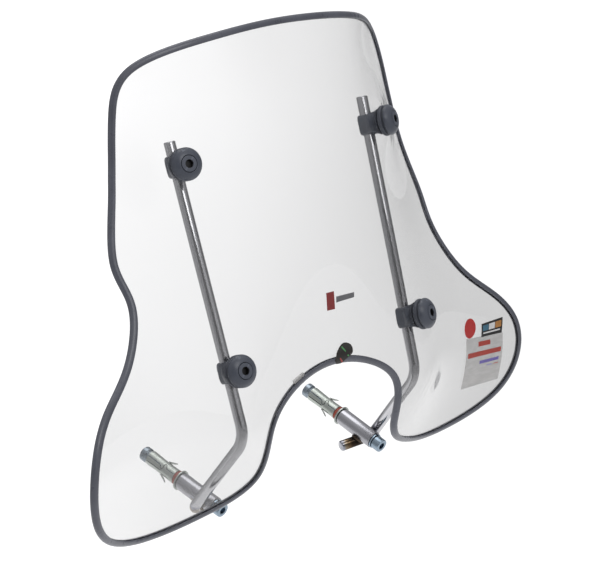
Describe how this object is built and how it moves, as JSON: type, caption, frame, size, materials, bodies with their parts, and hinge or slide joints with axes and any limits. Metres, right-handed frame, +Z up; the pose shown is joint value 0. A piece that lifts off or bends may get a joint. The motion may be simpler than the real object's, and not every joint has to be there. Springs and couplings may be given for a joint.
{
  "type": "scooter windshield",
  "caption": "Clear curved scooter windshield with edge trim, held by domed clamps on bent steel rods that end in expander mounts for the handlebar ends.",
  "frame": {"origin": "midway between the two handlebar faces of the expander mounts", "axes": "+X across the screen to the right seen from the front, -Y towards the front of the scooter, +Z up; the rods lean back 17 degrees"},
  "size_m": [0.5704, 0.144, 0.4255],
  "materials": {
    "black_steel": "black oxide",
    "bolt": "blue zinc plated",
    "fibre": "red-brown fibre",
    "film": "translucent film",
    "plastic": "semi-gloss blue-grey moulding",
    "pmma": "clear polished acrylic",
    "red": "printed vinyl",
    "rubber": "satin",
    "steel": "bright polished",
    "tag": "black vinyl",
    "tint": "heat-tinted weld",
    "trim": "satin blue-grey extrusion",
    "zinc": "zinc plated, satin"
  },
  "bodies": {
    "bars": {"rod_l": "steel", "weld_l": "tint", "lock_washer_l": "bolt", "spacer_sleeve_l": "steel", "end_washer_l": "zinc", "fibre_ring_l": "fibre", "expansion_sleeve_l": "zinc", "rod_r": "steel", "weld_r": "tint", "lock_washer_r": "bolt", "spacer_sleeve_r": "steel", "end_washer_r": "zinc", "fibre_ring_r": "fibre", "expansion_sleeve_r": "zinc"},
    "screen": {"screen": "pmma", "edge_trim": "trim", "edge_tag": "tag", "film_label": "film", "flag_sticker": "tag", "round_sticker": "red"},
    "clamp_lu": {"clamp_block_lu": "plastic", "dome_cap_lu": "plastic", "front_washer_lu": "rubber", "bush_lu": "rubber", "rear_washer_lu": "rubber", "plate_washer_lu": "zinc", "nut_lu": "zinc"},
    "screw_lu": {"cap_screw_lu": "black_steel"},
    "clamp_ll": {"clamp_block_ll": "plastic", "dome_cap_ll": "plastic", "front_washer_ll": "rubber", "bush_ll": "rubber", "rear_washer_ll": "rubber", "plate_washer_ll": "zinc", "nut_ll": "zinc"},
    "screw_ll": {"cap_screw_ll": "black_steel"},
    "clamp_ru": {"clamp_block_ru": "plastic", "dome_cap_ru": "plastic", "front_washer_ru": "rubber", "bush_ru": "rubber", "rear_washer_ru": "rubber", "plate_washer_ru": "zinc", "nut_ru": "zinc"},
    "screw_ru": {"cap_screw_ru": "black_steel"},
    "clamp_rl": {"clamp_block_rl": "plastic", "dome_cap_rl": "plastic", "front_washer_rl": "rubber", "bush_rl": "rubber", "rear_washer_rl": "rubber", "plate_washer_rl": "zinc", "nut_rl": "zinc"},
    "screw_rl": {"cap_screw_rl": "black_steel"},
    "bolt_l": {"expander_bolt_l": "bolt"},
    "cone_l": {"cone_nut_l": "zinc"},
    "bolt_r": {"expander_bolt_r": "bolt"},
    "cone_r": {"cone_nut_r": "zinc"}
  },
  "joints": [
    {"name": "screen_height", "type": "slide", "parent": "bars", "child": "screen", "axis": [0, 0.2924, 0.9563], "range_m": [-0.015, 0.003]},
    {"name": "clamp_lu_height", "type": "slide", "parent": "bars", "child": "clamp_lu", "axis": [-0.0342, 0.2922, 0.9557], "range_m": [-0.0151, 0.0031]},
    {"name": "screw_lu_turn", "type": "hinge", "parent": "clamp_lu", "child": "screw_lu", "pos_m": [-0.12884, -0.02898, 0.28505], "axis": [-0.3371, -0.9036, 0.2642], "range_deg": [-180, 180]},
    {"name": "clamp_ll_height", "type": "slide", "parent": "bars", "child": "clamp_ll", "axis": [-0.0342, 0.2922, 0.9557], "range_m": [-0.0151, 0.0031]},
    {"name": "screw_ll_turn", "type": "hinge", "parent": "clamp_ll", "child": "screw_ll", "pos_m": [-0.12089, -0.08177, 0.11418], "axis": [-0.2147, -0.9361, 0.2785], "range_deg": [-180, 180]},
    {"name": "clamp_ru_height", "type": "slide", "parent": "bars", "child": "clamp_ru", "axis": [0.0342, 0.2922, 0.9557], "range_m": [-0.0151, 0.0031]},
    {"name": "screw_ru_turn", "type": "hinge", "parent": "clamp_ru", "child": "screw_ru", "pos_m": [0.12884, -0.02898, 0.28505], "axis": [0.3371, -0.9036, 0.2642], "range_deg": [-180, 180]},
    {"name": "clamp_rl_height", "type": "slide", "parent": "bars", "child": "clamp_rl", "axis": [0.0342, 0.2922, 0.9557], "range_m": [-0.0151, 0.0031]},
    {"name": "screw_rl_turn", "type": "hinge", "parent": "clamp_rl", "child": "screw_rl", "pos_m": [0.12089, -0.08177, 0.11418], "axis": [0.2147, -0.9361, 0.2785], "range_deg": [-180, 180]},
    {"name": "bolt_l_turn", "type": "hinge", "parent": "bars", "child": "bolt_l", "pos_m": [-0.10782, -0.05235, -0.02028], "axis": [-0.014, 0.9526, 0.304], "range_deg": [0, 540]},
    {"name": "cone_l_travel", "type": "slide", "parent": "bars", "child": "cone_l", "axis": [0.014, -0.9526, -0.304], "range_m": [0, 0.0019]},
    {"name": "bolt_r_turn", "type": "hinge", "parent": "bars", "child": "bolt_r", "pos_m": [0.10798, -0.05095, -0.01569], "axis": [0.014, 0.9354, 0.3534], "range_deg": [0, 540]},
    {"name": "cone_r_travel", "type": "slide", "parent": "bars", "child": "cone_r", "axis": [-0.014, -0.9354, -0.3534], "range_m": [0, 0.0019]}
  ],
  "couplings": [
    {"joint": "clamp_lu_height", "follows": "screen_height", "ratio": 1.0006},
    {"joint": "clamp_ll_height", "follows": "screen_height", "ratio": 1.0006},
    {"joint": "clamp_ru_height", "follows": "screen_height", "ratio": 1.0006},
    {"joint": "clamp_rl_height", "follows": "screen_height", "ratio": 1.0006},
    {"joint": "cone_l_travel", "follows": "bolt_l_turn", "m_per_rad": 0.00019894},
    {"joint": "cone_r_travel", "follows": "bolt_r_turn", "m_per_rad": 0.00019894}
  ]
}
